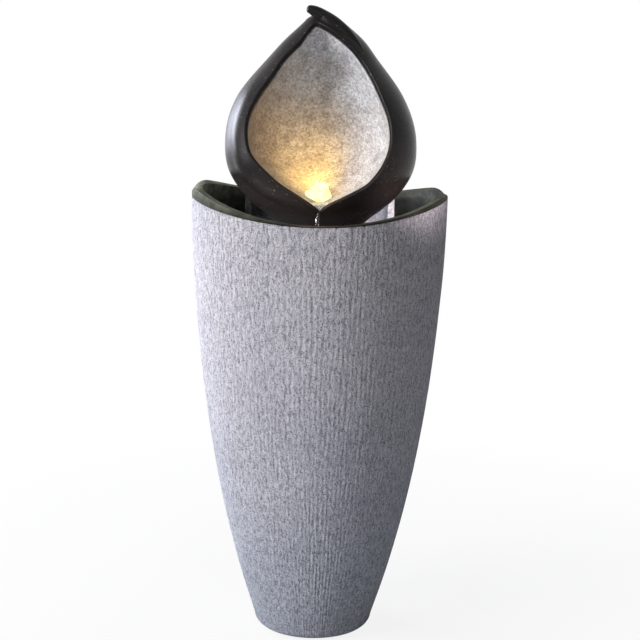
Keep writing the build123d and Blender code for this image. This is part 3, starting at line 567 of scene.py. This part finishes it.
# The window lies over a leaf plane that leans back from the spout: height, half width and sway.
SPOUT = np.array([0.0, -0.087, 0.556])
LEAF_UP = np.array([0.0, 0.078, 0.222]) / math.hypot(0.078, 0.222)
LEAF_OUT = np.array([0.0, -LEAF_UP[2], LEAF_UP[1]])
LEAF_MIDDLE = np.array([0.0, 0.098])
WINDOW_AT, WINDOW_HALF, WINDOW_SWAY = np.array([
    (0.0045, 0.0, 0.0), (0.0105, 0.0100, 0.0), (0.0195, 0.0270, 0.002), (0.0335, 0.0505, 0.003),
    (0.0485, 0.0660, 0.0015), (0.0675, 0.0795, -0.0015), (0.0922, 0.0855, -0.0025),
    (0.1176, 0.0830, -0.003), (0.1430, 0.0725, -0.002), (0.1685, 0.0590, 0.0005),
    (0.1930, 0.0445, 0.0005), (0.2130, 0.0270, 0.001), (0.2300, 0.0115, -0.0045), (0.2400, 0.0, -0.008)]).T
WINDOW_WALL = np.array([0.020, 0.010, 0.004])
LIP_ROLL = 0.004
CORE_BEHIND = 0.012
HALVINGS = 36
SIDE_END = 0.998
SIDE_CROWDING = 1.35
# The right horn's end: place sideways, height, half thickness, and share that it stands proud.
HORN = np.array([
    (0.0560, 0.7350, 0.0015, -1.00), (0.0380, 0.7575, 0.0075, -0.45), (0.0175, 0.7757, 0.0103, 0.25),
    (0.0010, 0.7873, 0.0094, 0.55), (-0.0113, 0.7953, 0.0066, 0.65), (-0.0203, 0.7985, 0.0041, 0.65)])
HORN_LEVEL = 0.7885
HORN_BLUNT = 0.003
HORN_CROWDING = 1.4
FLAME_TONES = ((0.3, (0.009, 0.008, 0.008)), (0.7, (0.015, 0.013, 0.013)))
FLAME_LOW_PAINTED_LIGHT = ((0.53, (0.050, 0.039, 0.036)), (0.61, 0.0))
FLAME_SPOTS = ((0.67, 0.0), (0.76, (0.22, 0.17, 0.10)))
FLAME_ROUGHNESS = ((0.3, 0.23), (0.7, 0.33))


def flame_side(points):
    """How far outside the oval stack points lie: the squared distance from the section's centre in
    half widths and half depths, less one, or a little more where the ridge stands proud. The stack
    ends flat below and rounded at the tip."""
    height = points[..., 2]
    inside = np.clip(height, FLAME_AT[0], FLAME_AT[-1])
    width, depth, aside, back = (through(inside, FLAME_AT, line) for line in FLAME_LINES)
    tip = np.sqrt(np.clip(1 - np.clip((inside - TIP_FROM) / TIP_LENGTH, 0.0, 1.0) ** 2, 1e-4, 1.0))
    x = (points[..., 0] - aside) / (width * tip)
    y = (points[..., 1] - back) / (depth * tip)
    turn = np.degrees(np.arctan2(x, -y))
    crest = np.interp(inside, RIDGE_AT, RIDGE_TURN)
    swell = np.exp(-((turn - crest) / RIDGE_SPREAD) ** 2)
    proud = 1 + np.interp(inside, RIDGE_AT, RIDGE_PROUD) * swell
    past = (height < FLAME_AT[0]) | (height > FLAME_AT[-1])
    return np.where(past, 1.0, x**2 + y**2 - proud**2)


def reach(start, direction, outside, low, high):
    """Distance along rays to where a shape ends, by halving the span between in and out."""
    low = np.full(direction.shape[:-1], low)
    high = np.full(direction.shape[:-1], high)
    for _ in range(HALVINGS):
        middle = (low + high) / 2
        out = outside(start + middle[..., None] * direction) > 0
        high = np.where(out, middle, high)
        low = np.where(out, low, middle)
    return low


def window_at(up):
    """Half width and sway of the window at a height in the leaf plane."""
    up = np.clip(up, WINDOW_AT[0], WINDOW_AT[-1])
    return through(up, WINDOW_AT, WINDOW_HALF), through(up, WINDOW_AT, WINDOW_SWAY)


def outside_window(flat):
    """How far outside the window points of the leaf plane lie."""
    half, sway = window_at(flat[..., 1])
    past = (flat[..., 1] < WINDOW_AT[0]) | (flat[..., 1] > WINDOW_AT[-1])
    return np.where(past, 1.0, np.abs(flat[..., 0] - sway) - half)


def leaf_outline(angle, grow):
    """Window edge in the leaf plane (sideways, upward) at angles about its middle: where a ray meets
    the half width over the height, swayed sideways, then grown outwards."""
    ray = np.stack([np.cos(angle), np.sin(angle)], axis=-1)
    out = reach(LEAF_MIDDLE, ray, outside_window, low=0.0, high=0.3)
    return LEAF_MIDDLE + (out + grow)[..., None] * ray


def on_leaf(flat, out):
    """Points of the leaf plane (sideways, upward) in space, moved out along its normal."""
    sideways = np.array([1.0, 0.0, 0.0])
    return SPOUT + flat[..., :1] * sideways + flat[..., 1:] * LEAF_UP + out[..., None] * LEAF_OUT


def window_rise(angle, grow):
    """How far in front of the leaf plane the flame's side lies at the window edge."""
    flat = leaf_outline(angle, grow)
    start = on_leaf(flat, np.zeros(flat.shape[:-1]))
    ray = np.broadcast_to(LEAF_OUT, start.shape)
    return reach(start, ray, flame_side, low=-0.03, high=0.12)


def flame_surface(columns, rows):
    """The flame's skin: from each point of the window edge, rays from a point inside swing round to
    the back and stop at the oval stack; before them the edge rolls over into the window."""
    angle = 2 * np.pi * np.arange(columns) / columns - np.pi / 2
    rise = window_rise(angle, LIP_ROLL)
    edge = on_leaf(leaf_outline(angle, LIP_ROLL), rise)
    core = SPOUT + LEAF_MIDDLE[1] * LEAF_UP - CORE_BEHIND * LEAF_OUT
    first = (edge - core) / np.linalg.norm(edge - core, axis=-1, keepdims=True)
    last = -LEAF_OUT
    span = np.arccos(np.clip(first @ last, -1.0, 1.0))[None, :, None]
    t = (np.linspace(0.0, SIDE_END, rows) ** SIDE_CROWDING)[:, None, None]
    ray = (np.sin((1 - t) * span) * first[None] + np.sin(t * span) * last) / np.sin(span)
    side = core + reach(core, ray, flame_side, low=0.0, high=0.4)[..., None] * ray
    inner = on_leaf(leaf_outline(angle, 0.0), rise - LIP_ROLL)
    corner = edge - LIP_ROLL * LEAF_OUT
    turn = np.linspace(0.0, np.pi / 2, 7)[:-1, None, None]
    roll = corner + (inner - corner) * np.cos(turn) + LIP_ROLL * LEAF_OUT * np.sin(turn)
    wall = inner[None] - WINDOW_WALL[:, None, None] * LEAF_OUT
    return np.concatenate([wall, roll, side])


def horn_surface(columns, rows):
    """The right horn's end: oval sections along a path up the right side and over the tip, thinning
    to a blunt point at the left. Each lies on the front of the oval stack, more proud higher up."""
    along = np.concatenate([[0.0], np.cumsum(np.hypot(np.diff(HORN[:, 0]), np.diff(HORN[:, 1])))])
    run = along[-1] * (1 - (1 - np.linspace(0.0, 1.0, rows)) ** HORN_CROWDING)
    x, z, half, proud = (through(run, along, line) for line in HORN.T)
    level = np.clip(z, FLAME_AT[0], HORN_LEVEL)
    width, depth, aside, back = (through(level, FLAME_AT, line) for line in FLAME_LINES)
    front = back - depth * np.sqrt(np.clip(1 - (np.maximum(x - aside, 0.0) / width) ** 2, 0.0, 1.0))
    end = np.sqrt(1 - np.clip((run - along[-1]) / HORN_BLUNT + 1, 0.0, 0.995) ** 2)
    y = (front + half * (1 - proud))[:, None]
    slope = np.arctan2(np.gradient(z, run), np.gradient(x, run))[:, None]
    angle = 2 * np.pi * np.arange(columns)[None, :] / columns
    half = (half * end)[:, None]
    across = half * np.cos(angle)
    return np.stack([x[:, None] - across * np.sin(slope), y + half * np.sin(angle),
                     z[:, None] + across * np.cos(slope)], axis=-1)


flame = skin("flame_casting", flame_surface(columns=288, rows=110)[::-1], cap_first=True)
horn = skin("flame_horn", horn_surface(columns=40, rows=90)[::-1], cap_first=True, cap_last=True)
flame_resin, tree, main, place = shader("flame_resin", roughness=0.36)
main.inputs["Specular IOR Level"].default_value = 0.085
cloud = noise(tree, place, scale=18.0, detail=4.0)
spots = noise(tree, place, scale=430.0, detail=2.0)
bronze = ramp(tree, cloud, FLAME_TONES)
# Painted light: low on the casting the colour is made paler and browner, where little light falls.
bronze = mixed(tree, bronze, ramp(tree, axes(tree, place)["Z"], FLAME_LOW_PAINTED_LIGHT), kind="ADD")
bronze = mixed(tree, bronze, ramp(tree, spots, FLAME_SPOTS), kind="ADD")
tree.links.new(bronze, main.inputs["Base Color"])
tree.links.new(ramp(tree, cloud, FLAME_ROUGHNESS), main.inputs["Roughness"])
bumped(tree, main, noise(tree, place, scale=900.0, detail=2.0), depth=0.00015)
flame.data.materials.append(flame_resin)
horn.data.materials.append(flame_resin)
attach(horn, "ornament")
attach(flame, "ornament")
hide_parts("flame_shell")


# Dish: the speckled stone scoop bonded into the window, deepest in the middle and running to a
# pointed spout below. Pressed from the same chips as the pedestal.
DISH_BEHIND_LIP = 0.009
DISH_TUCK = 0.001
DISH_END = 0.995
DISH_CROWDING = 1.8
DISH_PAINTED_SHADE = (0.62, 0.53, 0.44)


def dish_surface(columns, rows):
    """The scoop: the window edge shrunk towards its middle, as deep at each height as a round
    section of the window's half width, its edge lying a little inside the flame's lip."""
    angle = 2 * np.pi * np.arange(columns) / columns - np.pi / 2
    rise = window_rise(angle, LIP_ROLL) - DISH_BEHIND_LIP
    shrink = (1 - np.linspace(0.0, DISH_END, rows) ** DISH_CROWDING)[:, None]
    flat = LEAF_MIDDLE + shrink[..., None] * (leaf_outline(angle, DISH_TUCK) - LEAF_MIDDLE)
    half, sway = window_at(flat[..., 1])
    deep = np.sqrt(np.clip(half**2 - (flat[..., 0] - sway) ** 2, 0.0, 1.0))
    return on_leaf(flat, rise * shrink**2 - deep)


dish = skin("dish_scoop", dish_surface(columns=240, rows=70), cap_last=True)
# Painted shade: the scoop darker and browner at its left, under the left horn.
dish.data.materials.append(speckled_stone("dish_stone", DISH_PAINTED_SHADE))
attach(dish, "ornament")
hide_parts("flame_dish")


# Light and water in the dish: warm lamps under a clear ring lens, water that wells up over them in a
# low lumpy mound, a small pool behind the spout and a thin stream that falls into the basin.
WELL = np.array([0.0, -0.035, 0.558])
WELL_RADIUS = 0.01235
WELL_HEIGHT = 0.0225
WELL_LUMP = 0.012
WELL_TONES = ((0.3, (1.0, 0.62, 0.18)), (0.6, (1.0, 0.90, 0.55)))
WELL_GLOW = ((0.3, (1.0, 0.58, 0.12)), (0.55, (1.0, 0.90, 0.48)))
POOL_LEVEL = 0.5665
POOL_FRONT = -0.0845
POOL_BACK = -0.002
POOL_RIPPLE = 0.0005
RIPPLE_ACROSS = 400.0
RIPPLE_ALONG = 350.0
STREAM_FRONT = -0.083
STREAM_TOP = 0.5655
STREAM_ASIDE = -0.007
STREAM_THROW = 0.017
STREAM_RADIUS = 0.0025
STREAM_THINS = 0.0009
STREAM_TWIST = 0.0004
LAMP_LIGHT = (1.0, 0.56, 0.11)
LAMP_RADIUS = 0.012
BEAM_AIM = (-0.026, 0.034, 0.604)
BEAM_CONE = 165.0
LENS_TONES = ((0.3, (1.0, 0.75, 0.35)), (0.7, (1.0, 0.88, 0.6)))
LENS_GLOW = ((0.3, (1.0, 0.70, 0.28)), (0.7, (1.0, 0.82, 0.45)))


def mound_surface(columns, rows):
    """The welling water: a dome over a round foot, its radius and height pushed by lattice lumps."""
    around, t = np.meshgrid(np.arange(columns) / columns, np.linspace(0.0, 0.97, rows))
    lump = patches(around, t, cells_across=7, cells_up=5, seed=8)
    radius = WELL_RADIUS * (1 + lump) * np.cos(t * np.pi / 2) ** 0.7
    height = (WELL_HEIGHT + WELL_LUMP * lump) * np.sin(t * np.pi / 2)
    return turned(radius, 2 * np.pi * around, height) + WELL


mound = skin("welling_water", mound_surface(columns=72, rows=30), cap_first=True, cap_last=True)
glow, tree, main, place = shader("glowing_water", roughness=0.08)
bubbles = noise(tree, place, scale=160.0)
tree.links.new(ramp(tree, bubbles, WELL_TONES), main.inputs["Base Color"])
tree.links.new(ramp(tree, bubbles, WELL_GLOW), main.inputs["Emission Color"])
# Painted light: the mound glows with the lamps' light that shines up through the water.
main.inputs["Emission Strength"].default_value = 1.15
bumped(tree, main, bubbles, depth=0.002)
mound.data.materials.append(glow)
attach(mound, "ornament")


def pool_surface(columns, rows):
    """The pool: a level sheet from the spout back, as wide at each place as the scoop is there."""
    along = np.linspace(POOL_FRONT, POOL_BACK, rows)
    back = along - SPOUT[1]
    above = POOL_LEVEL - SPOUT[2]
    half, _ = window_at(back * LEAF_UP[1] + above * LEAF_UP[2])
    behind = back * LEAF_UP[2] - above * LEAF_UP[1]
    half = np.sqrt(np.clip(half**2 - behind**2, 1e-7, 1.0))
    side = np.linspace(-1.0, 1.0, columns)[None, :] * half[:, None]
    ripple = np.sin(RIPPLE_ACROSS * side) * np.sin(RIPPLE_ALONG * along[:, None])
    return np.stack([side, np.broadcast_to(along[:, None], side.shape),
                     POOL_LEVEL + POOL_RIPPLE * ripple], axis=-1)


pool = skin("dish_pool", pool_surface(columns=40, rows=60), wrap=False)
pool.data.materials.append(water_shader("dish_pool", (0.95, 0.93, 0.86)))
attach(pool, "ornament")


def stream_surface(columns, rows):
    """The stream: a thin round thread that falls along a curve, narrowing, with a slow twist."""
    angle = 2 * np.pi * np.arange(columns)[None, :] / columns
    t = np.linspace(0.0, 1.0, rows)[:, None]
    radius = STREAM_RADIUS - STREAM_THINS * t + STREAM_TWIST * np.sin(9 * t + 2 * angle)
    centre = np.stack([STREAM_ASIDE * t, STREAM_FRONT - STREAM_THROW * t**0.6,
                       STREAM_TOP - (STREAM_TOP - WATER_LEVEL) * t], axis=-1)
    return centre + turned(radius, angle, np.zeros_like(t))


stream = skin("stream", stream_surface(columns=20, rows=40)[::-1], cap_first=True, cap_last=True)
stream.data.materials.append(water_shader("stream", (0.98, 0.95, 0.88)))
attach(stream, "ornament")

# The lamp ring's own light: a faint glow on the lip, a halo and a beam up the dish.
lip_glow = lamp("lip_glow", "POINT", (-0.004, -0.120, 0.566), WELL, 0.005, LAMP_LIGHT)
lamp_halo = lamp("lamp_halo", "POINT", (0.0, -0.030, 0.604), WELL, 0.056, LAMP_LIGHT)
lip_glow.data.shadow_soft_size = LAMP_RADIUS
lamp_halo.data.shadow_soft_size = LAMP_RADIUS
lamp_beam = spot_lamp("lamp_beam", (0.004, -0.026, 0.600), BEAM_AIM, BEAM_CONE, LAMP_RADIUS, 0.175,
                      LAMP_LIGHT)
for light in (lip_glow, lamp_halo, lamp_beam):
    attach(light, "ornament")

lamp_glow, tree, main, place = shader("lamp_glow", roughness=0.3)
spots = noise(tree, place, scale=300.0, detail=2.0)
tree.links.new(ramp(tree, spots, LENS_TONES), main.inputs["Base Color"])
tree.links.new(ramp(tree, spots, LENS_GLOW), main.inputs["Emission Color"])
main.inputs["Emission Strength"].default_value = 4.0
paint(lamp_glow, "leds", "lamp_lens")


# Pump, gland, hose and pads: moulded and bought pieces hidden under the pedestal, the water and the
# foot. Their CAD meshes are kept, each with a mottled plastic, rubber, metal or ceramic finish.
def mottled(name, dark, light, roughness, scale, metallic=0.0, depth=0.0001, clear=0.0):
    """Plain material whose colour drifts between two tones, with a faint moulded or brushed grain."""
    material, tree, main, place = shader(name, roughness)
    main.inputs["Metallic"].default_value = metallic
    main.inputs["Transmission Weight"].default_value = clear
    drift = ramp(tree, noise(tree, place, scale), ((0.3, dark), (0.7, light)))
    tree.links.new(drift, main.inputs["Base Color"])
    bumped(tree, main, noise(tree, place, 6 * scale, detail=2.0), depth)
    return material


paint(mottled("rubber", (0.018, 0.018, 0.018), (0.032, 0.032, 0.031), 0.75, 180.0),
      "foot_pads", "gland_seal", "lamp_gasket", "nozzle_seal", "lamp_lead", "lamp_plug", "cover_seal",
      "shaft_bushes", "suction_cups")
paint(mottled("grey_plastic", (0.13, 0.13, 0.14), (0.18, 0.18, 0.19), 0.5, 220.0),
      "gland_body", "gland_nut", "lamp_body", "nozzle", "strainer")
paint(mottled("black_plastic", (0.022, 0.022, 0.025), (0.034, 0.034, 0.037), 0.45, 240.0),
      "pump_body", "pump_cover")
paint(mottled("white_plastic", (0.68, 0.68, 0.64), (0.76, 0.76, 0.73), 0.4, 200.0),
      "impeller", "flow_regulator")
paint(mottled("ceramic", (0.80, 0.80, 0.76), (0.86, 0.86, 0.83), 0.2, 260.0), "pump_shaft")
paint(mottled("ferrite", (0.05, 0.05, 0.05), (0.09, 0.09, 0.088), 0.55, 400.0, metallic=0.3),
      "rotor_magnet")
paint(mottled("board", (0.03, 0.16, 0.07), (0.05, 0.24, 0.11), 0.4, 300.0), "led_board")
paint(mottled("spring_steel", (0.45, 0.45, 0.46), (0.60, 0.60, 0.60), 0.3, 350.0, metallic=1.0),
      "hose_clip")
paint(mottled("core_steel", (0.28, 0.28, 0.29), (0.38, 0.38, 0.39), 0.45, 500.0, metallic=1.0),
      "stator_core")
paint(mottled("copper", (0.55, 0.24, 0.11), (0.72, 0.36, 0.19), 0.35, 500.0, metallic=1.0, depth=0.0004),
      "stator_coil")
paint(mottled("hose_plastic", (0.70, 0.74, 0.74), (0.80, 0.83, 0.83), 0.25, 150.0, clear=0.8),
      "riser_hose")
